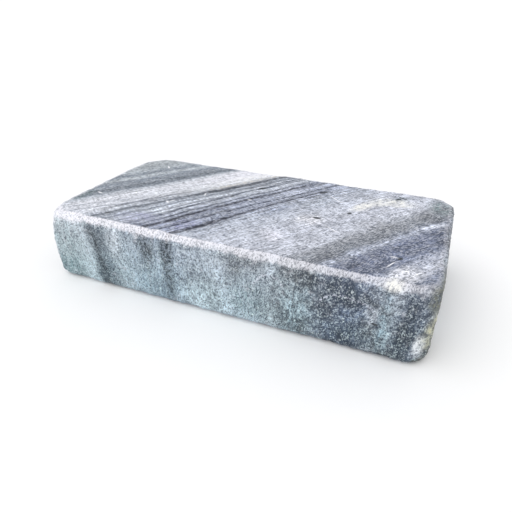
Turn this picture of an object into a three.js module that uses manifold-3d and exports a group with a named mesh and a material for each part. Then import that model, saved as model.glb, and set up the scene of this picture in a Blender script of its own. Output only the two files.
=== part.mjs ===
// A tumbled marble paving block: sawn square from banded marble, then rumbled in a drum until its arrises
// and corners are worn round, with knocks, chips and small dissolved pits left in it.
// Millimetres. X runs along the block, Z is up, and the sawn underside lies flat in the plane Z = 0.

import * as THREE from 'three';
import { mergeVertices } from 'three/addons/utils/BufferGeometryUtils.js';
import { ImprovedNoise } from 'three/addons/math/ImprovedNoise.js';
import Module from 'manifold-3d';

// The block, over its farthest points
const blockLength = 200;
const blockWidth = 100;
const blockHeight = 40;

// Facets: their usual width, how many share the worn strip beside an arris, and how wide those strips are
const facetWidth = 4.4;
const rimFacets = 2;
const topRim = 3.2;
const lowRim = 6;

// Worn arrises: radius at the top and at the underside of each side, and how far it wanders along the run
const arrisRadii = {
  front: { top: 3.1, low: 5.8 },
  right: { top: 3.1, low: 5.6 },
  back: { top: 3.6, low: 6 },
  left: { top: 2.8, low: 6 },
};
const arrisWander = 0.8;
const arrisWanderLength = 11;

// Upright corners in plan: radius, and how far the wear drew the corner in along X and along Y
const uprightCorners = {
  frontLeft: { radius: 5.4, drawnIn: [-1.4, 0] },
  frontRight: { radius: 10, drawnIn: [0, 0] },
  backRight: { radius: 13, drawnIn: [0, 0] },
  backLeft: { radius: 15, drawnIn: [1.6, 1.4] },
};

// Unevenness of the faces: depth and length of each swell
const topSwells = [
  { depth: 0.5, length: 42 },
  { depth: 0.2, length: 12 },
  { depth: 0.1, length: 5 },
];
const sideSwells = [
  { depth: 0.7, length: 38 },
  { depth: 0.4, length: 13 },
  { depth: 0.3, length: 6 },
];

// Thickness that the saw takes off the underside to leave it flat
const sawnOff = 0.12;

// Knocks: soft hollows beaten into corners and arrises. Place on the square block, reach and depth.
const knocks = [
  { at: [-100, -50, 40], reach: 16, depth: 3.4 },
  { at: [100, -50, 40], reach: 14, depth: 1.2 },
  { at: [100, 50, 40], reach: 16, depth: 0.5 },
  { at: [-100, 50, 40], reach: 24, depth: 1.2 },
  { at: [-100, -50, 0], reach: 14, depth: 1.5 },
  { at: [100, -50, 0], reach: 15, depth: 0.6 },
  { at: [100, 50, 0], reach: 16, depth: 2.6 },
  { at: [-100, 50, 0], reach: 16, depth: 2.2 },
  { at: [-16, 50, 40], reach: 18, depth: 0.4 },
  { at: [14, 50, 40], reach: 12, depth: 0.3 },
  { at: [40, 50, 40], reach: 20, depth: 0.4 },
  { at: [-62, -50, 0], reach: 18, depth: 0.5 },
  { at: [66, -50, 0], reach: 30, depth: 1 },
];

// Chips: shell-shaped breaks in the arrises. Place on the square block, length, breadth, depth and turn.
const chips = [
  { at: [96.7, -50, 9.5], size: [8, 9, 0.8], turn: 0.5 },
  { at: [-83, -50, 40], size: [15, 6, 0.9], turn: 0.1 },
  { at: [-30, -50, 40], size: [9, 5, 0.7], turn: -0.1 },
  { at: [22, -50, 40], size: [12, 5, 0.7], turn: 0.1 },
  { at: [80, -50, 40], size: [16, 6, 0.9], turn: -0.2 },
  { at: [100, 6, 40], size: [11, 6, 1], turn: 0.1 },
  { at: [100, -22, 40], size: [8, 5, 0.8], turn: -0.2 },
  { at: [100, 28, 0], size: [15, 8, 1.4], turn: 0.1 },
  { at: [52, 50, 40], size: [16, 6, 0.8], turn: 0.1 },
  { at: [-58, 50, 40], size: [11, 5, 0.7], turn: -0.1 },
  { at: [-8, 50, 0], size: [17, 9, 1.5], turn: 0 },
  { at: [-100, -18, 0], size: [14, 8, 1.4], turn: 0.2 },
  { at: [-100, 30, 40], size: [11, 5, 0.6], turn: -0.1 },
  { at: [-94, 50, 22], size: [9, 12, 1.3], turn: 0.3 },
];

// Pits dissolved out of the faces, listed in the same way
const pits = [
  { at: [35.4, -2.7, 40], size: [3.8, 1.8, 0.9], turn: 0.5 },
  { at: [49.1, 9, 40], size: [2.2, 1.6, 0.8], turn: 1.3 },
  { at: [-5.6, 23.2, 40], size: [5, 2.2, 0.7], turn: 0.95 },
  { at: [14.7, 19.6, 40], size: [2.4, 1.6, 0.6], turn: 0.9 },
  { at: [-16.8, 6.2, 40], size: [2.4, 1.6, 0.7], turn: 1 },
  { at: [80.4, -28.2, 40], size: [2.6, 1.8, 0.9], turn: 0.9 },
  { at: [78.8, -31, 40], size: [2.8, 1.6, 0.7], turn: 1.1 },
  { at: [72, 41, 40], size: [6, 2.4, 0.7], turn: -0.6 },
  { at: [69.4, 36.4, 40], size: [4, 2, 0.6], turn: 1.2 },
  { at: [76.4, 34.8, 40], size: [3.2, 2, 0.6], turn: 0.3 },
  { at: [-67, -39.5, 40], size: [3.6, 1.8, 0.6], turn: 0.9 },
  { at: [76, -50, 18], size: [3, 1.6, 0.8], turn: 0.2 },
  { at: [-0.4, -50, 12], size: [2.4, 2.2, 0.6], turn: 0 },
];

// Slivers finer than this are closed up where a cut crosses a facet
const finestFacet = 0.03;

// Lumps that cut the chips and pits: how uneven they are, and how many bumps they have from side to side
const lumpUnevenness = 0.16;
const lumpBumps = 4;
const chipDetail = 1;
const pitDetail = 0;

const halfLength = blockLength / 2;
const halfWidth = blockWidth / 2;
const noise = new ImprovedNoise();
const wasm = await Module();
wasm.setup();

function facetCount(run, rims) {
  return Math.round((run - rims) / facetWidth) + 2 * rimFacets;
}

// Places one grid line: the outer ones crowd into the worn strips and the others share the face evenly
function gridLine(step, count, [low, high], [lowStrip, highStrip]) {
  if (step <= rimFacets) {
    return low + lowStrip * step / rimFacets;
  }
  if (step >= count - rimFacets) {
    return high - highStrip * (count - step) / rimFacets;
  }
  const share = (step - rimFacets) / (count - 2 * rimFacets);
  return THREE.MathUtils.lerp(low + lowStrip, high - highStrip, share);
}

function cornerNear(x, y) {
  if (y < 0) {
    return x < 0 ? uprightCorners.frontLeft : uprightCorners.frontRight;
  }
  return x < 0 ? uprightCorners.backLeft : uprightCorners.backRight;
}

// Rounds the upright corners: gives the moved point, the way out of the block there and the depth inside it
function roundPlan(x, y) {
  const { radius } = cornerNear(x, y);
  const side = new THREE.Vector2(Math.sign(x), Math.sign(y));
  const pivot = new THREE.Vector2(halfLength - radius, halfWidth - radius);
  const past = new THREE.Vector2(Math.abs(x), Math.abs(y)).sub(pivot);
  if (past.x > 0 && past.y > 0) {
    const reach = Math.max(past.x, past.y);
    const outward = past.normalize().multiply(side);
    return { place: pivot.multiply(side).addScaledVector(outward, reach), outward, inset: radius - reach };
  }
  const insetX = halfLength - Math.abs(x);
  const insetY = halfWidth - Math.abs(y);
  return {
    place: new THREE.Vector2(x, y),
    outward: insetX < insetY ? new THREE.Vector2(side.x, 0) : new THREE.Vector2(0, side.y),
    inset: Math.min(insetX, insetY),
  };
}

// Rounds an arris in section: from the inset and the distance to the face, both zero at the sharp edge
function roundArris(inset, toFace, radius) {
  const past = new THREE.Vector2(radius - inset, radius - toFace);
  if (past.x <= 0 || past.y <= 0) {
    const slant = toFace < inset ? new THREE.Vector2(0, 1) : new THREE.Vector2(1, 0);
    return { inset, toFace, slant };
  }
  const reach = Math.max(past.x, past.y);
  const slant = past.normalize();
  return { inset: radius - slant.x * reach, toFace: radius - slant.y * reach, slant };
}

// Around an upright corner the radius passes from that of one side to that of the next
function arrisRadius(x, y, edge, outward) {
  const end = outward.x < 0 ? arrisRadii.left : arrisRadii.right;
  const flank = outward.y < 0 ? arrisRadii.front : arrisRadii.back;
  const level = edge === 'top' ? blockHeight : 0;
  const wander = noise.noise(x / arrisWanderLength, y / arrisWanderLength, level / arrisWanderLength);
  return outward.x ** 2 * end[edge] + outward.y ** 2 * flank[edge] + arrisWander * wander;
}

function swellDepth(place, swells) {
  return swells.reduce((sum, { depth, length }) => {
    const wave = noise.noise(place.x / length, place.y / length, place.z / length + depth);
    return sum + depth * (1 + wave) / 2;
  }, 0);
}

function knockDepth(point) {
  return knocks.reduce((sum, { at, reach, depth }) => {
    const share = Math.max(0, 1 - point.distanceTo(new THREE.Vector3(...at)) / reach);
    return sum + depth * share ** 2;
  }, 0);
}

// Gives the point of the worn block, with its outward normal, that a point of the square block wears down to
function wornPoint(x, y, z) {
  const plan = roundPlan(x, y);
  const upper = z > blockHeight / 2;
  const radius = arrisRadius(x, y, upper ? 'top' : 'low', plan.outward);
  const section = roundArris(plan.inset, upper ? blockHeight - z : z, radius);
  const level = upper ? blockHeight - section.toFace : section.toFace;
  const edge = plan.place.addScaledVector(plan.outward, plan.inset - section.inset);
  const outward = plan.outward.multiplyScalar(section.slant.x);
  const place = new THREE.Vector3(edge.x, edge.y, level);
  const normal = new THREE.Vector3(outward.x, outward.y, upper ? section.slant.y : -section.slant.y);
  const topShare = Math.max(normal.z, 0) ** 2;
  const swell = THREE.MathUtils.lerp(swellDepth(place, sideSwells), swellDepth(place, topSwells), topShare);
  const aboveBed = 1 - Math.max(-normal.z, 0);
  place.addScaledVector(normal, -aboveBed * (swell + knockDepth(new THREE.Vector3(x, y, z))));
  const [drawnX, drawnY] = cornerNear(place.x, place.y).drawnIn;
  const cornerShare = Math.abs(place.x / halfLength) * Math.abs(place.y / halfWidth);
  place.x -= Math.sign(place.x) * drawnX * cornerShare;
  place.y -= Math.sign(place.y) * drawnY * cornerShare;
  return { place, normal };
}

// The worn block as one closed skin: a finely divided box with every vertex moved to its worn place
function wornSkin() {
  const counts = [
    facetCount(blockLength, 2 * topRim),
    facetCount(blockWidth, 2 * topRim),
    facetCount(blockHeight, lowRim + topRim),
  ];
  const skin = new THREE.BoxGeometry(...counts, ...counts);
  const vertices = skin.getAttribute('position');
  for (let i = 0; i < vertices.count; i += 1) {
    const grid = new THREE.Vector3().fromBufferAttribute(vertices, i);
    const steps = grid.toArray().map((step, axis) => Math.round(step + counts[axis] / 2));
    const x = gridLine(steps[0], counts[0], [-halfLength, halfLength], [topRim, topRim]);
    const y = gridLine(steps[1], counts[1], [-halfWidth, halfWidth], [topRim, topRim]);
    const z = gridLine(steps[2], counts[2], [0, blockHeight], [lowRim, topRim]);
    vertices.setXYZ(i, ...wornPoint(x, y, z).place);
  }
  return skin;
}

// Brings the skin to the block's full size over the origin, a little below Z = 0 where the saw will pass
function fitToBlock(skin) {
  skin.computeBoundingBox();
  const { min, max } = skin.boundingBox;
  const size = max.clone().sub(min);
  const scale = [blockLength / size.x, blockWidth / size.y, (blockHeight + sawnOff) / size.z];
  return new THREE.Matrix4()
    .makeTranslation(0, 0, -sawnOff)
    .scale(new THREE.Vector3(...scale))
    .multiply(new THREE.Matrix4().makeTranslation(-(min.x + max.x) / 2, -(min.y + max.y) / 2, -min.z));
}

function toSolid(geometry) {
  const bare = geometry.clone();
  bare.deleteAttribute('normal');
  bare.deleteAttribute('uv');
  const merged = mergeVertices(bare);
  return new wasm.Manifold(new wasm.Mesh({
    numProp: 3,
    vertProperties: new Float32Array(merged.getAttribute('position').array),
    triVerts: new Uint32Array(merged.index.array),
    tolerance: finestFacet,
  }));
}

function toGeometry(solid) {
  const { vertProperties, triVerts } = solid.getMesh();
  const geometry = new THREE.BufferGeometry();
  geometry.setAttribute('position', new THREE.BufferAttribute(vertProperties, 3));
  geometry.setIndex(new THREE.BufferAttribute(triVerts, 1));
  geometry.computeVertexNormals();
  return geometry;
}

// Everything below Z = 0
function sawCut() {
  const waste = new THREE.BoxGeometry(2 * blockLength, 2 * blockWidth, blockHeight);
  waste.translate(0, 0, -blockHeight / 2);
  return toSolid(waste);
}

// A rough lump whose middle lies on the worn surface, as long and wide as the hollow that it leaves
function cutter({ at, size, turn }, fit, detail) {
  const { place, normal } = wornPoint(...at);
  const lump = new THREE.IcosahedronGeometry(0.5, detail);
  const points = lump.getAttribute('position');
  for (let i = 0; i < points.count; i += 1) {
    const point = new THREE.Vector3().fromBufferAttribute(points, i);
    const sample = point.clone().multiplyScalar(lumpBumps).add(place);
    const bump = noise.noise(sample.x, sample.y, sample.z);
    points.setXYZ(i, ...point.multiplyScalar(1 + lumpUnevenness * bump));
  }
  const [length, width, depth] = size;
  lump.scale(length, width, 2 * depth);
  lump.rotateZ(turn);
  const onTop = Math.hypot(normal.x, normal.y) < Number.EPSILON;
  const level = onTop ? new THREE.Vector3(1, 0, 0) : new THREE.Vector3(-normal.y, normal.x, 0).normalize();
  lump.applyMatrix4(new THREE.Matrix4().makeBasis(level, normal.clone().cross(level), normal));
  lump.translate(...place.applyMatrix4(fit));
  return toSolid(lump);
}

function breakOut(skin) {
  const fit = fitToBlock(skin);
  const cutters = [
    sawCut(),
    ...chips.map((chip) => cutter(chip, fit, chipDetail)),
    ...pits.map((pit) => cutter(pit, fit, pitDetail)),
  ];
  return cutters.reduce((left, tool) => left.subtract(tool), toSolid(skin.applyMatrix4(fit)));
}

const marble = new THREE.MeshStandardMaterial({ color: '#a7afba', roughness: 0.75, metalness: 0 });
const block = new THREE.Mesh(toGeometry(breakOut(wornSkin())), marble);
block.name = 'paving_block';

const group = new THREE.Group();
group.add(block);

export default group;
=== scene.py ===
import math

import bmesh
import bpy
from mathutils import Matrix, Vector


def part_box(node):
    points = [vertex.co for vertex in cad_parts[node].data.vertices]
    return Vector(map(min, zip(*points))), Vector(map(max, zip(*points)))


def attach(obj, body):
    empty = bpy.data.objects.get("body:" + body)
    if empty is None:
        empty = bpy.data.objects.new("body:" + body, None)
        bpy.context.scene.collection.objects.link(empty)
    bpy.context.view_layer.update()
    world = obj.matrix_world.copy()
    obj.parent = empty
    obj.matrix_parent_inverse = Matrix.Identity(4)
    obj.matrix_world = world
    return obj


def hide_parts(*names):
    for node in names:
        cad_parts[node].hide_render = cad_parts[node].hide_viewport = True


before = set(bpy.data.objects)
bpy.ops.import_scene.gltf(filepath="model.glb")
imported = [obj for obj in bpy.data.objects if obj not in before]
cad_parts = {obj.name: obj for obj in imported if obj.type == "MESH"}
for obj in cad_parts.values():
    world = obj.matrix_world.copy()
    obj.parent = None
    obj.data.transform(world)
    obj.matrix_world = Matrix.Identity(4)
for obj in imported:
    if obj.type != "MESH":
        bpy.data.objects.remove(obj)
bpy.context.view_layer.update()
scene = bpy.context.scene
blockLow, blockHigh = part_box("paving_block")
print("frame loaded, block", [round((h - l) * 1000, 1) for l, h in zip(blockLow, blockHigh)], "mm")


def linear(hexColour):  # an sRGB hex colour as the linear values that sockets take
    shares = [int(hexColour[i : i + 2], 16) / 255 for i in (1, 3, 5)]
    return [s / 12.92 if s <= 0.04045 else ((s + 0.055) / 1.055) ** 2.4 for s in shares] + [1.0]


def addNode(tree, kind, feeds=None, **settings):
    # feeds maps an input's name or number to a value, a socket, or a node, meaning its first live output
    node = tree.nodes.new(kind)
    for name, value in settings.items():
        setattr(node, name, value)
    for name, feed in (feeds or {}).items():
        if isinstance(feed, bpy.types.Node):
            feed = next(o for o in feed.outputs if o.enabled)
        if isinstance(feed, bpy.types.NodeSocket):
            tree.links.new(feed, node.inputs[name])
        else:
            node.inputs[name].default_value = feed
    return node


def calculate(tree, operation, *terms, clamp=False):
    return addNode(tree, "ShaderNodeMath", dict(enumerate(terms)), operation=operation, use_clamp=clamp)


def ranged(tree, feed, limits, smooth=False):
    # limits: from, to, and what these become, which is 0 and 1 unless they say so
    kind = "SMOOTHSTEP" if smooth else "LINEAR"
    return addNode(tree, "ShaderNodeMapRange", dict(enumerate((feed, *limits))), interpolation_type=kind)


def between(tree, share, first, last):
    return addNode(tree, "ShaderNodeMapRange", {0: share, 3: first, 4: last})


def blendColours(tree, share, first, last, way="MIX"):
    return addNode(tree, "ShaderNodeMix", {0: share, 6: first, 7: last}, data_type="RGBA", blend_type=way)


def noiseAt(tree, place, scale, detail, roughness=0.5):
    feeds = {"Vector": place, "Scale": scale, "Detail": detail, "Roughness": roughness}
    return addNode(tree, "ShaderNodeTexNoise", feeds)


# Camera: metres from the middle of the underside, degrees, and millimetres of lens and sensor.
viewpoint = {
    "place": (0.0911, -0.2126, 0.1421),
    "tilt": 59.85,
    "turn": 23.12,
    "lens": 32.72,
    "sensor": 36,
    "near": 0.01,  # m
}


def setCamera():
    camera = bpy.data.objects.new("camera", bpy.data.cameras.new("camera"))
    scene.collection.objects.link(camera)
    camera.data.lens = viewpoint["lens"]
    camera.data.sensor_width = viewpoint["sensor"]
    camera.data.clip_start = viewpoint["near"]
    camera.location = viewpoint["place"]
    camera.rotation_euler = (math.radians(viewpoint["tilt"]), 0, math.radians(viewpoint["turn"]))
    scene.camera = camera


# Studio: an even pale room, with one very soft lamp overhead.
studio = {
    "floorSpan": 60,  # m, so the floor meets the sky at eye level in low views
    "floorColour": "#fafafa",
    "floorRoughness": 0.9,
    "floorGloss": 0.1,
    "roomLow": "#f7f8f8",
    "roomHigh": "#f7f7f9",
    "roomSpan": (0.05, 0.9),  # height in the sky where the low colour ends and the high one begins
    "roomStrength": 0.88,
    "lampStrength": 1.06,
    "lampSpread": 70,  # degrees across, as soft as an overcast sky
    "lampAngles": (24, -18, 0),  # degrees from straight down
}


def setStudio():
    half = studio["floorSpan"] / 2
    corners = [(-half, -half, 0), (half, -half, 0), (half, half, 0), (-half, half, 0)]
    mesh = bpy.data.meshes.new("floor")
    mesh.from_pydata(corners, [], [(0, 1, 2, 3)])
    floor = bpy.data.objects.new("floor", mesh)
    scene.collection.objects.link(floor)
    paint = bpy.data.materials.new("matt white studio floor")
    paint.use_nodes = True
    shader = paint.node_tree.nodes["Principled BSDF"]
    shader.inputs["Base Color"].default_value = linear(studio["floorColour"])
    shader.inputs["Roughness"].default_value = studio["floorRoughness"]
    shader.inputs["Specular IOR Level"].default_value = studio["floorGloss"]
    mesh.materials.append(paint)

    lamp = bpy.data.objects.new("overhead lamp", bpy.data.lights.new("overhead lamp", "SUN"))
    lamp.data.energy = studio["lampStrength"]
    lamp.data.angle = math.radians(studio["lampSpread"])
    lamp.rotation_euler = [math.radians(a) for a in studio["lampAngles"]]
    scene.collection.objects.link(lamp)

    room = bpy.data.worlds.new("pale room")
    room.use_nodes = True
    tree = room.node_tree
    direction = addNode(tree, "ShaderNodeTexCoord").outputs["Generated"]
    height = addNode(tree, "ShaderNodeSeparateXYZ", {0: direction}).outputs["Z"]
    share = ranged(tree, height, studio["roomSpan"])
    colour = blendColours(tree, share, linear(studio["roomLow"]), linear(studio["roomHigh"]))
    background = tree.nodes["Background"]
    tree.links.new(colour.outputs[2], background.inputs["Color"])
    background.inputs["Strength"].default_value = studio["roomStrength"]
    scene.world = room
    scene.view_settings.view_transform = "Standard"
    print("camera and studio set")


# The marble's colour follows one coordinate, bedding: millimetres across its layers, measured along the
# front arris. The layers lie askew across the block, curve a little and fan out towards the left.
layers = {
    "frontLine": -46,  # mm, where the layers start to run back from the front
    "slant": 0.66,  # mm sideways for each mm back
    "roughSlant": 0.7,  # the same, near enough to tell which stretch of layers a point is in
    "curve": 0.0007,
    "fanFrom": -25,
    "fan": 0.0012,
    "leanLeft": (-71, 0.16),  # bedding, and mm sideways for each mm down
    "leanMiddle": (-26, -0.01),
    "leanRight": (80, -0.11),
    "wavers": ((35, 2.6), (11, 1.0), (3.5, 0.35)),  # mm, wavelength and reach of the layers' unevenness
    "span": (-190, 110),  # bedding values that the tones run over
}

# Broad tones of the layers, from the far left corner to the right end: (bedding, colour).
tones = [
    (-155, "#aab1b5"),
    (-138, "#99a3ac"),
    (-124, "#a0a8b2"),
    (-117, "#8b949f"),
    (-107, "#808b97"),
    (-103, "#c2c8d2"),
    (-96, "#e9ebf3"),
    (-88, "#e0e3ec"),
    (-80, "#dde1eb"),
    (-75, "#c0c6d1"),
    (-68, "#a2a9b5"),
    (-64, "#a8afbb"),
    (-58, "#c5cbd6"),
    (-50, "#bdc4d1"),
    (-44, "#c0c8d8"),
    (-34, "#bec6d8"),
    (-28, "#bec6d9"),
    (-20, "#b2b9c8"),
    (-12, "#bbc1cf"),
    (0, "#ced3e0"),
    (10, "#ced2df"),
    (18, "#cacedb"),
    (30, "#cbcfdb"),
    (38, "#93979f"),
    (46, "#797e87"),
    (53, "#888fa1"),
    (61, "#5f6881"),
    (71, "#6f7890"),
    (76, "#a3a9ba"),
    (84, "#c6cad7"),
    (89, "#878fa4"),
    (97, "#727b90"),
]

# Veins, seams and streaks in the layers. "at" and "drift" place the middle of each on the bedding, "wide" is
# its full width in mm and "soft" the fade at its rims. "back" and "down" say where it shows: mm behind the
# front line or below the top where it starts and is whole, then where it begins to fade and is gone.
onTop = (-2, -1, 2, 6)
belowArris = (2, 5, 900, 901)
veins = {
    "stripeShade": {"at": -37, "wide": 22, "soft": 8, "colour": "#8a91a6", "strength": 0.55, "down": onTop},
    "rightVeinShade": {
        "at": -24.6,
        "drift": -0.055,
        "wide": 4.2,
        "soft": 2.4,
        "colour": "#596078",
        "strength": 0.7,
        "back": (2, 8, 30, 48),
        "down": onTop,
    },
    "leftVeinShade": {
        "at": -39,
        "drift": -0.055,
        "wide": 6,
        "soft": 3,
        "colour": "#727990",
        "strength": 0.6,
        "down": onTop,
    },
    "seamHead": {
        "at": -70.6,
        "wide": 5,
        "soft": 3,
        "colour": "#4d545f",
        "strength": 0.8,
        "back": (46, 56, 66, 78),
        "down": onTop,
    },
    "rightFallShade": {
        "at": -25.4,
        "wide": 7.5,
        "soft": 3,
        "colour": "#6b7883",
        "strength": 0.45,
        "down": belowArris,
    },
    "seamFallShade": {
        "at": -68.6,
        "wide": 10,
        "soft": 5,
        "colour": "#4c5762",
        "strength": 0.6,
        "down": belowArris,
    },
    "seamTwin": {
        "at": -78.6,
        "wide": 2.2,
        "soft": 2,
        "colour": "#6c7380",
        "strength": 1.0,
        "back": (6, 16, 46, 58),
        "down": onTop,
    },
    "brownShade": {
        "at": -75.2,
        "wide": 2.6,
        "soft": 2.2,
        "colour": "#a8a298",
        "strength": 0.7,
        "back": (50, 64, 92, 100),
        "down": onTop,
    },
    "rightGrey": {"at": 44, "wide": 4, "soft": 3, "colour": "#6c7179", "strength": 0.5, "down": onTop},
    "rightPale": {"at": 51.8, "wide": 2.6, "soft": 2, "colour": "#b6bdce", "strength": 0.75, "down": onTop},
    "rightNavy": {"at": 58, "wide": 4, "soft": 3, "colour": "#535c76", "strength": 0.55, "down": onTop},
    "rightDash": {"at": 67.5, "wide": 1.8, "soft": 1.6, "colour": "#4a5268", "strength": 0.6, "down": onTop},
    "farDark": {"at": -121, "wide": 4, "soft": 2.6, "colour": "#74808d", "strength": 0.8, "down": onTop},
    "farPale": {"at": -128, "wide": 3, "soft": 2, "colour": "#c1c9ce", "strength": 0.8, "down": onTop},
    "farShade": {"at": -135, "wide": 4, "soft": 2.2, "colour": "#76828e", "strength": 0.8, "down": onTop},
    "farRim": {"at": -144, "wide": 2.4, "soft": 2, "colour": "#bfc7cc", "strength": 0.7, "down": onTop},
    "farSeam": {"at": -110.5, "wide": 5.0, "soft": 3.0, "colour": "#56616c", "strength": 1.0},
}

# The cores of the veins and the white layer lie over the grain, as their crystals are all of one shade.
veils = {
    "rightVein": {
        "at": -23.8,
        "drift": -0.055,
        "wide": 2.7,
        "soft": 1.4,
        "colour": "#171d2f",
        "strength": 0.95,
        "back": (-2, -1, 26, 42),
        "down": onTop,
    },
    "rightVeinFar": {
        "at": -23.8,
        "drift": -0.055,
        "wide": 1.8,
        "soft": 1.1,
        "colour": "#1b2134",
        "strength": 0.95,
        "back": (26, 42, 78, 87),
        "down": onTop,
    },
    "middleVein": {"at": -33, "wide": 1.5, "soft": 0.9, "colour": "#2f364b", "strength": 0.85, "down": onTop},
    "leftVein": {
        "at": -40.3,
        "drift": -0.055,
        "wide": 2.1,
        "soft": 1.2,
        "colour": "#171d2f",
        "strength": 0.9,
        "back": (-2, -1, 84, 96),
        "down": onTop,
    },
    "innerVein": {
        "at": -45,
        "drift": -0.06,
        "wide": 1.4,
        "soft": 0.9,
        "colour": "#373e51",
        "strength": 0.75,
        "down": onTop,
    },
    "palerVein": {
        "at": -49.4,
        "drift": -0.12,
        "wide": 1.7,
        "soft": 1.0,
        "colour": "#3b4355",
        "strength": 0.8,
        "down": (-2, -1, 3, 10),
    },
    "thinVein": {"at": -57, "wide": 1.5, "soft": 1.0, "colour": "#596170", "strength": 0.65, "down": onTop},
    "thinnerVein": {"at": -64, "wide": 1.4, "soft": 1.0, "colour": "#59616e", "strength": 0.7, "down": onTop},
    "seam": {
        "at": -70.4,
        "wide": 3.2,
        "soft": 1.6,
        "colour": "#2c3441",
        "strength": 0.9,
        "back": (26, 48, 96, 120),
        "down": onTop,
    },
    "seamFoot": {
        "at": -70.8,
        "wide": 2.2,
        "soft": 1.6,
        "colour": "#555d69",
        "strength": 0.85,
        "back": (-2, -1, 34, 52),
        "down": onTop,
    },
    "rightFall": {
        "at": -25.8,
        "wide": 4.6,
        "soft": 2.4,
        "colour": "#222c36",
        "strength": 1.0,
        "down": (2, 5, 12, 48),
    },
    "leftFall": {
        "at": -37.5,
        "wide": 6,
        "soft": 3.5,
        "colour": "#28323d",
        "strength": 0.9,
        "down": (2, 5, 13, 24),
    },
    "seamFall": {
        "at": -71.6,
        "wide": 3.4,
        "soft": 3.0,
        "colour": "#202a34",
        "strength": 0.6,
        "down": belowArris,
    },
    "frontThread": {
        "at": -97,
        "drift": 0.44,
        "wide": 0.9,
        "soft": 0.8,
        "colour": "#7d8595",
        "strength": 0.7,
        "back": (-2, -1, 22, 36),
        "down": onTop,
    },
    "innerThread": {
        "at": -88,
        "drift": 0.4,
        "wide": 0.9,
        "soft": 0.8,
        "colour": "#7d8595",
        "strength": 0.7,
        "back": (-2, -1, 22, 36),
        "down": onTop,
    },
    "lavenderBand": {
        "at": -92,
        "wide": 16,
        "soft": 8,
        "colour": "#eceaf3",
        "strength": 0.4,
        "back": (50, 84, 120, 140),
        "down": onTop,
    },
    "whiteBand": {
        "at": -80.5,
        "wide": 8,
        "soft": 7,
        "colour": "#f8f7f4",
        "strength": 0.42,
        "back": (30, 80, 120, 140),
        "down": onTop,
    },
}

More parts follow.
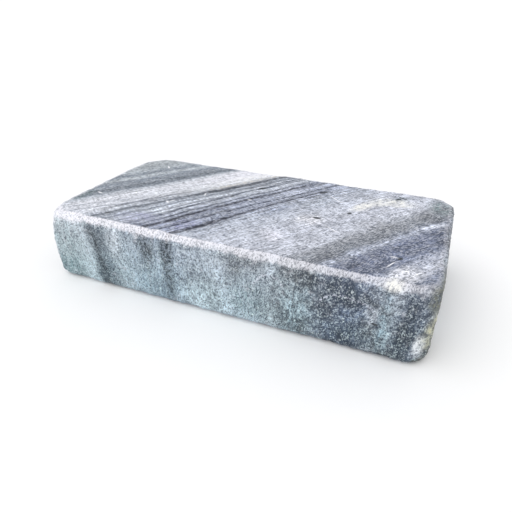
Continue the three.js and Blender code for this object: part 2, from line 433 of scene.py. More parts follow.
# Local marks on the faces, under the grain: middle and half sizes in mm, and degrees of turn about Z, if any.
# "core" is the share of the half size within which a mark is whole. A mark with a "line" is only a rim, which
# fades out that share of the half size to either side.
usualCore = 0.2
marks = {
    "shadowedCrack": {
        "at": (72, 38.5, 40),
        "half": (8, 5, 9),
        "turn": 40,
        "colour": "#64717a",
        "strength": 0.8,
    },
    # painted shade, greenish grey, on the back right corner of the top
    "paintedShadeBackCorner": {"at": (93, 36, 40), "half": (10, 16, 8), "colour": "#76888a", "strength": 0.75},
    "paleStreak": {"at": (91, 9, 40), "half": (13, 2.4, 9), "turn": 46, "colour": "#d8dce8", "strength": 0.6},
    "paleCorner": {
        "at": (84.5, -41, 40),
        "half": (7.5, 11, 9),
        "turn": -30,
        "colour": "#eff0f7",
        "strength": 0.75,
        "core": 0.45,
    },
    "lavenderStripe": {
        "at": (-24, -36, 40),
        "half": (8, 13, 9),
        "turn": -35,
        "colour": "#7e80a8",
        "strength": 0.6,
    },
    "lavenderPatch": {
        "at": (-49, -37, 40),
        "half": (7, 9, 9),
        "turn": -35,
        "colour": "#9fa1c0",
        "strength": 0.5,
    },
    "greenCorner": {"at": (-95, -25, 40), "half": (7, 13, 9), "colour": "#566d70", "strength": 0.7},
    "paleCentre": {"at": (33, -6, 40), "half": (12, 8, 9), "turn": 30, "colour": "#f4f4fb", "strength": 0.8},
    "pinkCentre": {
        "at": (21, -29, 40),
        "half": (12, 8, 9),
        "turn": -40,
        "colour": "#e9e5ef",
        "strength": 0.35,
    },
    "blueCentre": {"at": (13, -1, 40), "half": (6, 17, 9), "turn": -38, "colour": "#9da7bf", "strength": 0.6},
    "blueRear": {"at": (32, 17, 40), "half": (6, 15, 9), "turn": -38, "colour": "#b2bccb", "strength": 0.5},
    "paleFrontLeft": {"at": (-76, -34, 40), "half": (17, 11, 9), "colour": "#f0f2fa", "strength": 0.4},
    "paleStripesBack": {
        "at": (12, 24, 40),
        "half": (22, 15, 9),
        "turn": -38,
        "colour": "#ccd1df",
        "strength": 0.3,
    },
    "lavenderFront": {
        "at": (-56, -50, 29),
        "half": (7, 8, 14),
        "colour": "#e6e6f0",
        "strength": 1.0,
    },
    "greyUnderArris": {"at": (14, -50, 34), "half": (19, 6, 11), "colour": "#7c7f85", "strength": 0.75},
    "greyMiddle": {"at": (18, -50, 15), "half": (17, 8, 20), "colour": "#76838a", "strength": 0.7},
    "paleFoot": {"at": (28, -50, 9), "half": (6, 6, 9), "colour": "#d6dae2", "strength": 0.55},
    "leftShade": {"at": (-90, -50, 22), "half": (16, 8, 26), "colour": "#93a5aa", "strength": 0.5},
    "seamSpread": {"at": (-66, -50, 9), "half": (8, 8, 15), "colour": "#4d5b66", "strength": 1.0},
    "paleBetween": {"at": (-33, -50, 24), "half": (14, 8, 18), "colour": "#bac6cc", "strength": 0.4},
    "paleMiddle": {"at": (-7, -50, 8), "half": (18, 8, 15), "colour": "#e9edf5", "strength": 0.55},
    "blueFoot": {"at": (41, -50, 14), "half": (11, 8, 19), "colour": "#b9c6d2", "strength": 0.95},
    "stripeFoot": {"at": (-36, -50, 9), "half": (12, 8, 14), "colour": "#8796a2", "strength": 0.55},
    "greyEdge": {"at": (33.5, -50, 28), "half": (6, 8, 10), "colour": "#8b959c", "strength": 0.6},
    "paleEdge": {"at": (47, -50, 28), "half": (6, 8, 10), "colour": "#9da8b3", "strength": 0.6},
    "lowLeftShade": {"at": (-94, -50, 4), "half": (24, 8, 18), "colour": "#6d8187", "strength": 0.9},
    "darkMottle": {"at": (61, -50, 31), "half": (14, 8, 11), "colour": "#323c49", "strength": 0.85},
    "darkEnd": {"at": (90, -50, 20), "half": (7, 8, 28), "turn": -4, "colour": "#2f3945", "strength": 1.0},
    "darkFoot": {"at": (66, -50, 9), "half": (13, 8, 10), "colour": "#37414e", "strength": 0.85},
    "darkSpot": {"at": (53, -50, 24), "half": (4, 8, 6), "colour": "#37414e", "strength": 0.9},
    "darkCornerFoot": {"at": (85, -50, 5), "half": (6, 8, 9), "colour": "#2f3945", "strength": 0.8},
    "pinkPatch": {"at": (74.5, -50, 21), "half": (4.5, 6, 9), "colour": "#d3cfdb", "strength": 0.8},
    "paleSeamFront": {"at": (79.5, -50, 18), "half": (4.5, 8, 30), "colour": "#a3b3c1", "strength": 0.85},
}

# Stains, bruises and healed cracks that lie over the grain. The straw and olive on the right end are partly a
# stain and partly painted greenish reflected light.
stains = {
    "lavenderHaze": {
        "at": (-49, -38, 40),
        "half": (18, 9, 9),
        "turn": 10,
        "colour": "#a9acc6",
        "strength": 0.5,
    },
    "creamCorner": {
        "at": (53.5, 20.5, 40),
        "half": (6, 11, 9),
        "turn": -35,
        "colour": "#f3f2ee",
        "strength": 0.95,
    },
    "creamMiddle": {"at": (60, 27, 40), "half": (9, 6, 9), "turn": 30, "colour": "#eeeeec", "strength": 0.5},
    "creamStreak": {"at": (68, 31, 40), "half": (17, 8, 9), "turn": 10, "colour": "#efefea", "strength": 0.8},
    "whiteKnock": {"at": (81.5, -49, 38.5), "half": (5.5, 6, 4.5), "colour": "#f4f3ed", "strength": 1.0},
    "cornerCrystals": {
        "at": (96, -48, 11),
        "half": (4, 5, 8),
        "colour": "#eef3f8",
        "strength": 1.0,
        "core": 0.4,
    },
    # straw and olive on the right end: partly a stain, partly painted greenish reflected light
    "strawStainAndReflection": {"at": (104, 4, 18), "half": (8, 50, 26), "colour": "#b5b294", "strength": 0.4},
    "strawCornerStainAndReflection": {
        "at": (104, -42, 16),
        "half": (10.5, 32, 17),
        "colour": "#c9c6a6",
        "strength": 0.72,
        "core": 0.35,
    },
    "oliveCornerStainAndReflection": {
        "at": (104, -42, 34),
        "half": (11.5, 30, 10),
        "colour": "#66664a",
        "strength": 0.85,
        "core": 0.5,
    },
    "oliveRimStainAndReflection": {"at": (103, 4, 36), "half": (5.5, 60, 7), "colour": "#7d7d66", "strength": 0.7},
    "oliveFootStainAndReflection": {
        "at": (103, -42, 1),
        "half": (11, 26, 6),
        "colour": "#6b6a50",
        "strength": 0.8,
        "core": 0.4,
    },
    "faceSmudge": {"at": (-0.3, -50, 12), "half": (1.7, 3, 1.9), "colour": "#4c5a62", "strength": 0.85},
    "healedCrack": {
        "at": (63.5, -50, 19),
        "half": (12.5, 9, 9.8),
        "colour": "#d8dbea",
        "strength": 0.75,
        "line": 0.075,
        "down": (8, 10, 16, 22),
    },
    "healedCrackLeft": {
        "at": (28, -50, 20),
        "half": (8, 9, 10),
        "colour": "#dfe2ee",
        "strength": 0.7,
        "line": 0.1,
        "down": (8, 10, 16, 20),
    },
}

# Pits and cracks darkened with painted shade, dark ends and lenses of veins, and pale hairlines, drawn
# straight over everything else on the faces.
pits = {
    "darkPit": {"at": (35.4, -2.8, 40), "half": (2.9, 1.3, 2), "turn": 20},
    "smallPit": {"at": (49.3, 9.2, 40), "half": (1.3, 1.9, 2), "turn": -20},
    "rightVeinEnd": {"at": (29.6, 31, 40), "half": (3.8, 1.1, 2), "turn": 52},
    "palerVeinLens": {"at": (-5.6, 23.2, 40), "half": (3.4, 1.5, 2), "turn": 50},
    "palerVeinPit": {"at": (-16.8, 6.2, 40), "half": (1.5, 1.1, 2), "turn": 50},
    "veinPit": {"at": (14.7, 19.6, 40), "half": (1.5, 1.1, 2), "turn": 50},
    "frontPit": {"at": (80.4, -28.2, 40), "half": (1.8, 1.2, 2), "turn": 55},
    "farPit": {"at": (-67, -39.5, 40), "half": (2.2, 1.0, 2), "turn": 50},
    "backCrack": {"at": (72, 40, 40), "half": (4.4, 0.8, 2), "turn": -32},
    "backCrackTurned": {"at": (70, 37.4, 40), "half": (2.6, 0.8, 2), "turn": 40},
    "faceCrack": {"at": (76, -50, 18), "half": (2, 2, 0.7)},
}
hairlines = {
    "scratchBehind": {"at": (37.9, 24.4, 40), "half": (8.5, 0.42, 3), "turn": -41},
    "scratchAhead": {"at": (45.6, -12.3, 40), "half": (6.5, 0.42, 3), "turn": -33},
    "crackArm": {"at": (77.6, -27.7, 40), "half": (2.9, 0.45, 3), "turn": -5},
    "crackLeg": {"at": (77.4, -34.5, 40), "half": (5.2, 0.45, 3), "turn": 66},
    "seamFleck": {"at": (-46, -15, 40), "half": (2.2, 0.9, 3), "turn": -30},
    "seamFleckTurned": {"at": (-44.5, -13, 40), "half": (2.6, 0.7, 3), "turn": 60},
    "stripeFleck": {"at": (-32, 2.4, 40), "half": (2.2, 0.6, 3), "turn": -75},
    "veinFleck": {"at": (-5.5, 4.8, 40), "half": (1.8, 0.8, 3), "turn": 10},
    "farFleck": {"at": (-75.5, 33, 40), "half": (3.2, 0.7, 3), "turn": -45},
    "greenFleck": {"at": (-88.5, -19, 40), "half": (2.6, 0.8, 3), "turn": -10},
}

# Grain. Real crystals may be finer than these, which are drawn about as small as the main view can show.
grains = {
    "crystal": (0.42, 0.85, 0.62),  # mm across the layers, back along them, and down
    "fleck": (0.55, 1.4, 0.85),
    "clump": 2.6,  # mm
    "parts": (1.7, 0.8, 0.5),  # shares of crystals, flecks and clumps in the grain
    "contrast": (0.9, 1.08),  # of the grain, on the worn top and on the broken sides
    "contrastGrowth": (-90, 80, 0.98, 1.0),  # mm along, and the shares by which it grows on the sides
    "topGrowth": (20, 80, 1.0, 1.07),  # the same on the top
    "dark": (-0.9, 0.1, 0.15, 1.0),  # grain, and the share of the layer's own colour over the dark crystals'
    "pale": (0.1, 1.2, 0.0, 0.7),  # grain, and the share of the pale crystals' colour
    # the palest crystals on the sides, and the sparks below, are painted glints
    "glint": (0.92, 0.97, 0.0, 0.35),  # shade of a crystal, and how much the palest ones add on the sides
    "cluster": (0.38, 0.6, 0.45, 1.15),  # clumps, and the share of pale crystals and sparks in them
    "lamina": (1.8, 50),  # mm, spacing and length of the fine laminae
    "dash": (1.1, 11),
    "broken": (0.8, 1.15, 0.3, 1.3),  # dashes and clumps together, and how far a vein shows through them
    "swing": (0.25, 0.75, -1, 1),  # usual span of a noise, as a swing of brightness
    "laminaContrast": (0.42, 0.14),  # on the worn top, and on the broken sides
    # bedding where the laminae begin to strengthen and are strong, then where they weaken and are faint again
    "laminaZone": (-84, -70, -22, -8),
    "laminaShare": (0.85, 1.9),  # faint and strong
    "cloud": 9,  # mm
    "cloudContrast": (0.26, 0.5),
    "clumpContrast": (0.12, 0.32),
    "cloudGrowth": (-20, 70, 0.6, 1.8),
    # painted glints: white specks where large crystals' cleavage faces catch the light on the broken sides
    "glintSpacing": 2.7,  # mm between large crystals whose cleavage glints on the broken sides
    "glintShare": 0.42,
    "glintGlow": (0.05, 0.21, 0.85, 0),  # distance from its middle, in spacings, and brightness
    "glintFade": (-20, 60, 1.0, 0.75),
    "scratch": (16, 0.6, 9),  # mm, length, width and depth of the faint saw scratches on the top
    "scratchTurn": -40,
    "scratchContrast": 0.2,
    "crumble": (-0.6, 0.6, 1.3),  # grain, and how far the veins' cores cover its darkest crystals
    "crumbleEnd": (0.8, 0.6),  # and its palest ones, on the worn top and on the broken sides
    "speckle": (-0.7, 0.1, 0.45, 1.05),  # grain, and how far bruises and stains cover it
    "lineGaps": (0.46, 0.6, 0.0, 1.2),  # flecks, and how far a healed crack shows
    "pitGaps": (0.3, 0.6, 0.8, 1),  # clumps, and how far a pit or hairline shows
}

finishes = {
    # painted light: the sides cooler than the top, as cool reflected light, with a little of the stone's
    # greenish grey
    "paintedSideLight": ("#f2fbfb", "#e9fbfa"),  # the sides are cooler than the top, at their head and their foot
    "tintDepth": (8, 28),  # mm below the top where the head's tint ends and the foot's begins
    "tintFade": (-20, 60, 1, 0.95),  # mm along, and the share of that tint
    # painted shade: the side faces darker than the top, as less light falls on them
    "paintedSideShade": 0.92,
    "rightShade": (5, 80, 0.69),  # mm along: the side faces darken from here to here, down to this share
    "bruise": "#f4f3fa",  # crushed crystals on the worn arrises, almost white
    "bruiseStrength": (-40, 50, 0.9, 0.56),  # mm along, and the bruise's strength there
    "bruiseEnd": (88, 97, 1, 0.55),
    "bruiseRear": (-47, -36, 1, 0.5),  # mm back: the front arris is bruised more than the others
    "bruiseRim": (0.15, 0.75),
    "ragged": (4.0, 1.9),  # mm, and strength, of the noise that breaks the bruises up
    "paleCrystal": "#e9ebf2",
    # white of the painted glints on the broken sides
    "paintedGlint": "#ffffff",
    "darkCrystal": "#253244",
    # colour of the painted shade in pits, chips and cracks, and of the dark ends and lenses of veins
    "pitShadeAndVeinDark": "#262c2f",
    "hairline": "#f8f8fc",
    "roughness": 0.62,
    "bump": (0.6, 0.0003),  # strength, and m
    "pitCore": 0.55,
    "hairlineCore": 0.3,
}


def layerCoordinates(tree, place):
    # unevenness first, then bedding = along - (slant + fan + curve * back) * back - lean * down
    warped = place
    for wavelength, reach in layers["wavers"]:
        noise = noiseAt(tree, place, 1 / wavelength, detail=2).outputs["Color"]
        centred = addNode(tree, "ShaderNodeVectorMath", {0: noise, 1: (0.5,) * 3}, operation="SUBTRACT")
        feeds = {0: centred, 1: (2 * reach,) * 3, 2: warped}
        warped = addNode(tree, "ShaderNodeVectorMath", feeds, operation="MULTIPLY_ADD")
    split = addNode(tree, "ShaderNodeSeparateXYZ", {0: warped})
    along = split.outputs["X"]
    behind = calculate(tree, "SUBTRACT", split.outputs["Y"], layers["frontLine"])
    back = calculate(tree, "MAXIMUM", behind, 0)
    down = calculate(tree, "SUBTRACT", blockHigh.z * 1000, split.outputs["Z"])

    level = calculate(tree, "MULTIPLY_ADD", back, -layers["roughSlant"], along)
    low = layers["span"][0]
    fanFrom = layers["fanFrom"]
    fanned = ranged(tree, level, (fanFrom, low, 0, layers["fan"] * (fanFrom - low)))
    slant = calculate(tree, "ADD", fanned, layers["slant"])
    slant = calculate(tree, "MULTIPLY_ADD", back, layers["curve"], slant)
    run = calculate(tree, "MULTIPLY", slant, back)
    leftAt, leftLean = layers["leanLeft"]
    middleAt, middleLean = layers["leanMiddle"]
    rightAt, rightLean = layers["leanRight"]
    lean = ranged(tree, level, (leftAt, middleAt, leftLean, middleLean))
    turned = ranged(tree, level, (middleAt, rightAt, 0, rightLean - middleLean))
    lean = calculate(tree, "ADD", lean, turned)
    drop = calculate(tree, "MULTIPLY", lean, down)
    bedding = calculate(tree, "SUBTRACT", along, run)
    bedding = calculate(tree, "SUBTRACT", bedding, drop)
    where = {"warped": warped, "along": along, "behind": behind, "back": back, "down": down}
    return where | {"bedding": bedding}


def layerTones(tree, bedding):
    low, high = layers["span"]
    ramp = addNode(tree, "ShaderNodeValToRGB", {0: ranged(tree, bedding, (low, high))})
    stops = ramp.color_ramp.elements
    for position, _ in tones[2:]:
        stops.new((position - low) / (high - low))
    for stop, (position, colour) in zip(stops, tones):
        stop.position = (position - low) / (high - low)
        stop.color = linear(colour)
    return ramp


def stretched(tree, where, sizes):
    # coordinates in which a texture of scale 1 has these sizes in mm: across the layers, along them and down
    parts = zip(("bedding", "behind", "down"), sizes)
    scaled = [calculate(tree, "DIVIDE", where[name], size) for name, size in parts]
    return addNode(tree, "ShaderNodeCombineXYZ", dict(enumerate(scaled)))


def streaks(tree, where, spacing, length):
    # noise that is stretched along the layers
    along = stretched(tree, where, (spacing, length, length))
    return noiseAt(tree, along, 1, detail=3, roughness=0.65)


def layOn(tree, colour, mask, spec, where, broken):
    # lays a vein's or mark's colour over the stone where its mask, its limits and the broken noise let it
    for way in ("back", "down"):
        if way in spec:
            start, whole, fading, gone = spec[way]
            for limits in ((start, whole, 0, 1), (fading, gone, 1, 0)):
                fade = ranged(tree, where[way], limits)
                mask = calculate(tree, "MULTIPLY", mask, fade)
    mask = calculate(tree, "MULTIPLY", mask, broken, clamp=True)
    return blendColours(tree, mask, colour, linear(spec["colour"]))


def addVein(tree, colour, vein, where, broken):
    offset = calculate(tree, "MULTIPLY_ADD", where["back"], -vein.get("drift", 0), where["bedding"])
    offset = calculate(tree, "SUBTRACT", offset, vein["at"])
    offset = calculate(tree, "ABSOLUTE", offset)
    inner = (vein["wide"] - vein["soft"]) / 2
    outer = inner + 1.5 * vein["soft"]  # a smooth fade looks about two thirds as wide as it is
    mask = ranged(tree, offset, (inner, outer, vein["strength"], 0), smooth=True)
    return layOn(tree, colour, mask, vein, where, broken)


def addMark(tree, colour, mark, where, broken):
    # a ball gradient falls from 1 at the middle of the mark to 0 at its rim
    line = mark.get("line", 0)
    feeds = {
        "Vector": where["warped"],
        "Location": mark["at"],
        "Rotation": (0, 0, math.radians(mark.get("turn", 0))),
        "Scale": [size * (1 + line) for size in mark["half"]],
    }
    local = addNode(tree, "ShaderNodeMapping", feeds, vector_type="TEXTURE")
    ball = addNode(tree, "ShaderNodeTexGradient", {0: local}, gradient_type="SPHERICAL")
    nearness = ball.outputs["Fac"]
    whole = 1 - mark.get("core", usualCore)
    gone = 0
    if line:
        whole = 0
        gone = line / (1 + line)
        nearness = calculate(tree, "SUBTRACT", nearness, gone)
        nearness = calculate(tree, "ABSOLUTE", nearness)
    mask = ranged(tree, nearness, (whole, gone, mark["strength"], 0), smooth=True)
    return layOn(tree, colour, mask, mark, where, broken)


def stoneNoises(tree, place, where):
    noises = {
        "laminae": streaks(tree, where, *grains["lamina"]),
        "dashes": streaks(tree, where, *grains["dash"]),
        "clouds": noiseAt(tree, place, 1 / grains["cloud"], detail=4),
        "clumps": noiseAt(tree, place, 1 / grains["clump"], detail=2),
    }
    fleckPlace = stretched(tree, where, grains["fleck"])
    noises["flecks"] = noiseAt(tree, fleckPlace, 1, detail=2, roughness=0.6)
    # veins and marks are broken up by dashes along the layers
    broken = calculate(tree, "ADD", noises["dashes"], noises["clumps"])
    noises["broken"] = ranged(tree, broken, grains["broken"])
    return noises


def lightAndShade(tree, place, where, side, noises):
    # brightness of the layers: painted shade makes the side faces darker than the top, and darker towards the
    # right of the side faces
    along = where["along"]
    shadeFrom, shadeTo, shadeShare = finishes["rightShade"]
    shade = finishes["paintedSideShade"]
    paintedShade = ranged(tree, along, (shadeFrom, shadeTo, shade - 1, shade * shadeShare - 1))
    paintedShadeAndGrain = calculate(tree, "MULTIPLY_ADD", paintedShade, side, 1.0)
    turn = math.radians(grains["scratchTurn"])
    feeds = {"Vector": place, "Rotation": (0, 0, turn), "Scale": grains["scratch"]}
    scratchPlace = addNode(tree, "ShaderNodeMapping", feeds, vector_type="TEXTURE")
    scratches = noiseAt(tree, scratchPlace, 1, detail=2)
    cloudShare = ranged(tree, along, grains["cloudGrowth"])
    enter, inside, leave, outside = grains["laminaZone"]
    faint, strong = grains["laminaShare"]
    entering = ranged(tree, where["bedding"], (enter, inside, faint, strong))
    leaving = ranged(tree, where["bedding"], (leave, outside, strong, faint))
    laminaShare = calculate(tree, "MINIMUM", entering, leaving)
    for noise, (topContrast, sideContrast), share in (
        (noises["laminae"], grains["laminaContrast"], laminaShare),
        (noises["dashes"], grains["laminaContrast"], laminaShare),
        (noises["clouds"], grains["cloudContrast"], cloudShare),
        (noises["clumps"], grains["clumpContrast"], cloudShare),
        (scratches, (grains["scratchContrast"], 0), laminaShare),
    ):
        contrast = between(tree, side, topContrast, sideContrast)
        contrast = calculate(tree, "MULTIPLY", contrast, share)
        swing = ranged(tree, noise, grains["swing"])
        swing = calculate(tree, "MULTIPLY_ADD", swing, contrast, 1.0)
        paintedShadeAndGrain = calculate(tree, "MULTIPLY", paintedShadeAndGrain, swing)
    return paintedShadeAndGrain


def crystalGrain(tree, where, side, noises):
    # each crystal has its own shade, from dark and glassy to pale and crushed, as a swing either way
    crystalPlace = stretched(tree, where, grains["crystal"])
    crystals = addNode(tree, "ShaderNodeTexVoronoi", {"Vector": crystalPlace, "Scale": 1})
    shade = addNode(tree, "ShaderNodeSeparateColor", {0: crystals.outputs["Color"]})
    grain = -sum(grains["parts"]) / 2
    for part, share in zip((shade, noises["flecks"], noises["clumps"]), grains["parts"]):
        grain = calculate(tree, "MULTIPLY_ADD", part, share, grain)
    topGrowth = ranged(tree, where["along"], grains["topGrowth"])
    sideGrowth = ranged(tree, where["along"], grains["contrastGrowth"])
    growth = between(tree, side, topGrowth, sideGrowth)
    contrast = between(tree, side, *grains["contrast"])
    contrast = calculate(tree, "MULTIPLY", contrast, growth)
    return calculate(tree, "MULTIPLY", grain, contrast), shade


def layCrystals(tree, colour, grain, shade, side, clustered):
    lightness = ranged(tree, grain, grains["dark"])
    colour = blendColours(tree, lightness, linear(finishes["darkCrystal"]), colour)
    palenessAndGlints = ranged(tree, grain, grains["pale"])
    # the palest crystals on the sides become painted glints, laid on in the pale crystals' colour
    glints = ranged(tree, shade, grains["glint"])
    glints = calculate(tree, "MULTIPLY", glints, side)
    palenessAndGlints = calculate(tree, "MAXIMUM", palenessAndGlints, glints)
    palenessAndGlints = calculate(tree, "MULTIPLY", palenessAndGlints, clustered)
    return blendColours(tree, palenessAndGlints, colour, linear(finishes["paleCrystal"]))


def layPaintedGlints(tree, colour, place, along, side, clustered):
    # painted glints: white specks on the broken sides, gathered in clumps and fewer towards the right
    glintCells = addNode(tree, "ShaderNodeTexVoronoi", {"Vector": place, "Scale": 1 / grains["glintSpacing"]})
    chosen = addNode(tree, "ShaderNodeSeparateColor", {0: glintCells.outputs["Color"]})
    chosen = calculate(tree, "LESS_THAN", chosen, grains["glintShare"])
    glow = ranged(tree, glintCells.outputs["Distance"], grains["glintGlow"])
    fade = ranged(tree, along, grains["glintFade"])
    for share in (chosen, side, clustered, fade):
        glow = calculate(tree, "MULTIPLY", glow, share)
    return blendColours(tree, glow, colour, linear(finishes["paintedGlint"]))


def paintSideLight(tree, colour, where, side):
    # painted cool reflected light on the side faces, at their head and foot, with a little of the stone's
    # greenish grey
    head, foot = (linear(tint) for tint in finishes["paintedSideLight"])
    depth = ranged(tree, where["down"], finishes["tintDepth"])
    tint = blendColours(tree, depth, head, foot)
    share = ranged(tree, where["along"], finishes["tintFade"])
    share = calculate(tree, "MULTIPLY", share, side)
    tint = blendColours(tree, share, (1, 1, 1, 1), tint)
    return blendColours(tree, 1.0, colour, tint, "MULTIPLY")


def layBruises(tree, colour, place, along, bruise, speckle):
    # crushed white crystals on the arrises, broken up along their lower rim and duller towards the right
    size, strength = finishes["ragged"]
    ragged = noiseAt(tree, place, 1 / size, detail=4, roughness=0.75)
    ragged = calculate(tree, "SUBTRACT", ragged, 0.5)
    crushed = calculate(tree, "MULTIPLY_ADD", ragged, strength, bruise)
    crushed = ranged(tree, crushed, finishes["bruiseRim"])
    across = addNode(tree, "ShaderNodeSeparateXYZ", {0: place}).outputs["Y"]
    for feed, limits in ((along, "bruiseStrength"), (along, "bruiseEnd"), (across, "bruiseRear")):
        share = ranged(tree, feed, finishes[limits])
        crushed = calculate(tree, "MULTIPLY", crushed, share)
    crushed = calculate(tree, "MULTIPLY", crushed, speckle, clamp=True)
    return blendColours(tree, crushed, colour, linear(finishes["bruise"]))


def layStains(tree, colour, place, where, speckle, noises):
    lineGaps = ranged(tree, noises["flecks"], grains["lineGaps"])
    crumbled = calculate(tree, "MULTIPLY", noises["broken"], speckle)
    for stain in stains.values():
        colour = addMark(tree, colour, stain, where, lineGaps if "line" in stain else crumbled)
    # pits and hairlines stay where they are put, so they aren't moved with the layers' unevenness
    pitGaps = ranged(tree, noises["clumps"], grains["pitGaps"])
    # pits and cracks take painted shade; the dark ends and lenses of veins are dark stone
    for group, shade, core in ((pits, "pitShadeAndVeinDark", "pitCore"), (hairlines, "hairline", "hairlineCore")):
        for mark in group.values():
            drawn = mark | {"colour": finishes[shade], "strength": 1.0, "core": finishes[core]}
            colour = addMark(tree, colour, drawn, where | {"warped": place}, pitGaps)
    return colour


def marbleMaterial():
    # Tumbled banded marble: crushed white arrises, a worn top with lavender-grey layers and rougher sides,
    # painted darker and cooler than the top as painted shade and painted cool reflected light, with a little
    # of the stone's own greenish grey. Few masks wait on each other here, as past Cycles' limit on stack
    # space a material renders black.
    material = bpy.data.materials.new("tumbled banded marble")
    material.use_nodes = True
    tree = material.node_tree
    shader = tree.nodes["Principled BSDF"]
    metres = addNode(tree, "ShaderNodeTexCoord").outputs["Object"]
    place = addNode(tree, "ShaderNodeVectorMath", {0: metres, "Scale": 1000}, operation="SCALE")
    side, bruise, hollow = (
        addNode(tree, "ShaderNodeAttribute", attribute_name=name).outputs["Fac"]
        for name in ("side", "bruise", "hollow")
    )
    where = layerCoordinates(tree, place)
    along = where["along"]
    noises = stoneNoises(tree, place, where)

    colour = layerTones(tree, where["bedding"])
    for vein in veins.values():
        colour = addVein(tree, colour, vein, where, noises["broken"])
    for mark in marks.values():
        colour = addMark(tree, colour, mark, where, noises["broken"])
    # painted shade on the side faces, times the swings of the laminae, clouds, clumps and scratches
    paintedShadeAndGrain = lightAndShade(tree, place, where, side, noises)
    colour = addNode(tree, "ShaderNodeHueSaturation", {"Value": paintedShadeAndGrain, "Color": colour})

    grain, shade = crystalGrain(tree, where, side, noises)
    clustered = ranged(tree, noises["clumps"], grains["cluster"])
    clustered = between(tree, side, 1.0, clustered)
    colour = layCrystals(tree, colour, grain, shade, side, clustered)
    colour = layPaintedGlints(tree, colour, place, along, side, clustered)

    crumbleEnd = between(tree, side, *grains["crumbleEnd"])
    crumbled = ranged(tree, grain, (*grains["crumble"], crumbleEnd))
    crumbled = calculate(tree, "MULTIPLY", crumbled, noises["broken"])
    for veil in veils.values():
        colour = addVein(tree, colour, veil, where, crumbled)
    colour = paintSideLight(tree, colour, where, side)
    # painted shade in chips and hollows
    colour = blendColours(tree, hollow, colour, linear(finishes["pitShadeAndVeinDark"]))
    speckle = ranged(tree, grain, grains["speckle"])
    colour = layBruises(tree, colour, place, along, bruise, speckle)
    colour = layStains(tree, colour, place, where, speckle, noises)

    tree.links.new(next(o for o in colour.outputs if o.enabled), shader.inputs["Base Color"])
    shader.inputs["Roughness"].default_value = finishes["roughness"]
    strength, distance = finishes["bump"]
    feeds = {"Strength": strength, "Distance": distance, "Height": noises["flecks"]}
    bump = addNode(tree, "ShaderNodeBump", feeds)
    tree.links.new(bump.outputs[0], shader.inputs["Normal"])
    return material


# Mesh of the block: mm between its points, and rounds of smoothing that take off the facets.
meshing = {"voxel": 0.84, "rounds": 5}

# Relief of the skin, all in mm: names are the inputs of the Geometry Nodes tree. Depths are from lowest to
# highest. The relief of the crystals is coarser than their colours, as the mesh can't hold finer ones.
skin = {
    "Broken Face Depth": 0.6,
    "Broken Face Grain": 3.2,
    "Crystal Depth": 0.3,
    "Crystal Size": 1.5,
    "Worn Top Depth": 0.14,
    "Worn Top Grain": 3.0,
    "Arris Bruise Depth": 0.65,
    "Arris Bruise Size": 4.0,
}

# How the skin reads the shape: from, to, and what these become. The upward part of the normal is 1 on the
# top, 0 on an upright face and -1 on the underside.
readings = {
    "side": (0.80, 0.97, 1, 0),  # size of the upward part
    "arris": (0.12, 0.60),  # mm that a point stands out from its neighbourhood
    "hollow": (-0.16, -0.45, 0, 0.8),
    "turned": (0.945, 0.985, 1, 0),  # upward part, off the level of the top
    "turnedRim": (0.03, 0.3),
    "raised": (0.05, 0.45),  # upward part, above an upright face
    "upper": (-0.4, 0.0),
    "swing": (0.3, 0.7, -0.5, 0.5),  # usual span of a noise, as a swing of height
}
blurRounds = {"facing": 2, "neighbourhood": 14, "turned": 4, "raised": 5}
cornerBruise = 0.7  # bruise of a point that stands out, against that of the top's rim


def blurred(tree, feed, name, kind="FLOAT"):
    node = addNode(tree, "GeometryNodeBlurAttribute", {"Iterations": blurRounds[name]}, data_type=kind)
    tree.links.new(feed.outputs[0], next(i for i in node.inputs if i.enabled))
    return node


def skinHeight(tree, given, place, side, arris):
    height = None
    for sizeName, depthName, share, seed in (
        ("Broken Face Grain", "Broken Face Depth", side, 3.1),
        ("Crystal Size", "Crystal Depth", side, 7.7),
        ("Worn Top Grain", "Worn Top Depth", None, 11.2),
        ("Arris Bruise Size", "Arris Bruise Depth", arris, 5.4),
    ):
        scale = calculate(tree, "DIVIDE", 1, given[sizeName])
        feeds = {"Vector": place, "W": seed, "Scale": scale, "Detail": 2, "Roughness": 0.55}
        noise = addNode(tree, "ShaderNodeTexNoise", feeds, noise_dimensions="4D")
        swing = ranged(tree, noise, readings["swing"])
        swing = calculate(tree, "MULTIPLY", swing, given[depthName])
        if share:
            swing = calculate(tree, "MULTIPLY", swing, share)
        if height:
            swing = calculate(tree, "ADD", height, swing)
        height = swing
    return height


def bruisedArrises(tree, upward, arris):
    # from the top face's edge down to where the side face turns upright
    turned = blurred(tree, ranged(tree, upward, readings["turned"]), "turned")
    turned = ranged(tree, turned, readings["turnedRim"])
    raised = blurred(tree, ranged(tree, upward, readings["raised"]), "raised")
    corner = calculate(tree, "MULTIPLY", arris, cornerBruise)
    upper = ranged(tree, upward, readings["upper"])
    corner = calculate(tree, "MULTIPLY", corner, upper)
    bruise = calculate(tree, "MAXIMUM", raised, corner)
    return calculate(tree, "MULTIPLY", bruise, turned)


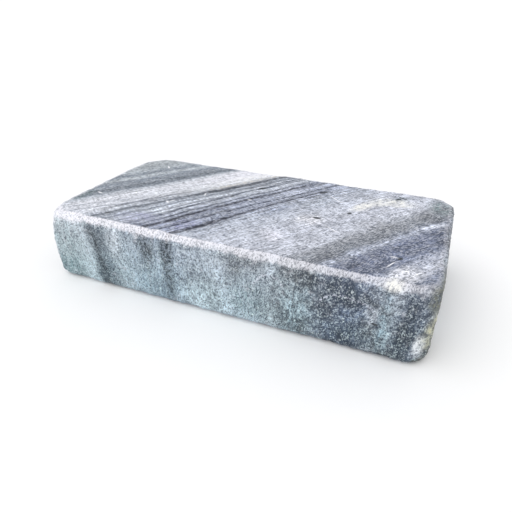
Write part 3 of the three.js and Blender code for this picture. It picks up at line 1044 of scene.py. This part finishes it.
def skinTree(material):
    tree = bpy.data.node_groups.new("weathered marble skin", "GeometryNodeTree")
    tree.interface.new_socket("Geometry", in_out="INPUT", socket_type="NodeSocketGeometry")
    for name in skin:
        tree.interface.new_socket(name, in_out="INPUT", socket_type="NodeSocketFloat")
    tree.interface.new_socket("Geometry", in_out="OUTPUT", socket_type="NodeSocketGeometry")
    given = addNode(tree, "NodeGroupInput").outputs

    position = addNode(tree, "GeometryNodeInputPosition")
    place = addNode(tree, "ShaderNodeVectorMath", {0: position, "Scale": 1000}, operation="SCALE")
    facing = blurred(tree, addNode(tree, "GeometryNodeInputNormal"), "facing", "FLOAT_VECTOR")
    facing = addNode(tree, "ShaderNodeVectorMath", {0: facing}, operation="NORMALIZE")
    upward = addNode(tree, "ShaderNodeSeparateXYZ", {0: facing}).outputs["Z"]
    flatness = calculate(tree, "ABSOLUTE", upward)
    side = ranged(tree, flatness, readings["side"])

    # how far each point stands out from its neighbourhood: most on arrises and corners, below zero in chips
    neighbourhood = blurred(tree, place, "neighbourhood", "FLOAT_VECTOR")
    proud = addNode(tree, "ShaderNodeVectorMath", {0: place, 1: neighbourhood}, operation="SUBTRACT")
    proud = addNode(tree, "ShaderNodeVectorMath", {0: proud, 1: facing}, operation="DOT_PRODUCT")
    arris = ranged(tree, proud.outputs["Value"], readings["arris"])
    # how far a point is sunk in a chip: the mask of the painted shade in chips and hollows
    hollow = ranged(tree, proud.outputs["Value"], readings["hollow"])

    # the skin stays within the solid's box
    height = skinHeight(tree, given, place, side, arris)
    outward = calculate(tree, "MULTIPLY", height, 0.001)
    feeds = {0: facing, 1: outward, 2: position}
    moved = addNode(tree, "ShaderNodeVectorMath", feeds, operation="MULTIPLY_ADD")
    moved = addNode(tree, "ShaderNodeVectorMath", {0: moved, 1: tuple(blockLow)}, operation="MAXIMUM")
    moved = addNode(tree, "ShaderNodeVectorMath", {0: moved, 1: tuple(blockHigh)}, operation="MINIMUM")

    geometry = given["Geometry"]
    bruise = bruisedArrises(tree, upward, arris)
    for name, value in (("side", side), ("bruise", bruise), ("hollow", hollow)):
        feeds = {"Geometry": geometry, "Name": name, "Value": value}
        geometry = addNode(tree, "GeometryNodeStoreNamedAttribute", feeds)
    geometry = addNode(tree, "GeometryNodeSetPosition", {"Geometry": geometry, "Position": moved})
    geometry = addNode(tree, "GeometryNodeSetShadeSmooth", {"Geometry": geometry})
    geometry = addNode(tree, "GeometryNodeRealizeInstances", {"Geometry": geometry})
    geometry = addNode(tree, "GeometryNodeSetMaterial", {"Geometry": geometry, "Material": material})
    addNode(tree, "NodeGroupOutput", {"Geometry": geometry})
    return tree


def makeBlock():
    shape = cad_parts["paving_block"].data.copy()
    shape.materials.clear()
    welded = bmesh.new()
    welded.from_mesh(shape)
    bmesh.ops.remove_doubles(welded, verts=welded.verts, dist=1e-6)
    welded.to_mesh(shape)
    welded.free()
    block = bpy.data.objects.new("marble_block", shape)
    scene.collection.objects.link(block)
    remesh = block.modifiers.new("even skin", "REMESH")
    remesh.mode = "VOXEL"
    remesh.voxel_size = meshing["voxel"] / 1000
    block.modifiers.new("worn facets", "SMOOTH").iterations = meshing["rounds"]
    tree = skinTree(marbleMaterial())
    weathering = block.modifiers.new("weathering", "NODES")
    weathering.node_group = tree
    for socket in tree.interface.items_tree:
        if socket.name in skin:
            weathering[socket.identifier] = float(skin[socket.name])
    bpy.context.view_layer.update()
    evaluated = block.evaluated_get(bpy.context.evaluated_depsgraph_get())
    finished = bpy.data.meshes.new_from_object(evaluated)
    block.modifiers.clear()
    block.data = finished
    finished.name = "marble_block"
    print("block skinned,", sum(len(f.vertices) - 2 for f in finished.polygons), "triangles")
    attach(block, "root")
    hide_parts("paving_block")


setCamera()
setStudio()
makeBlock()
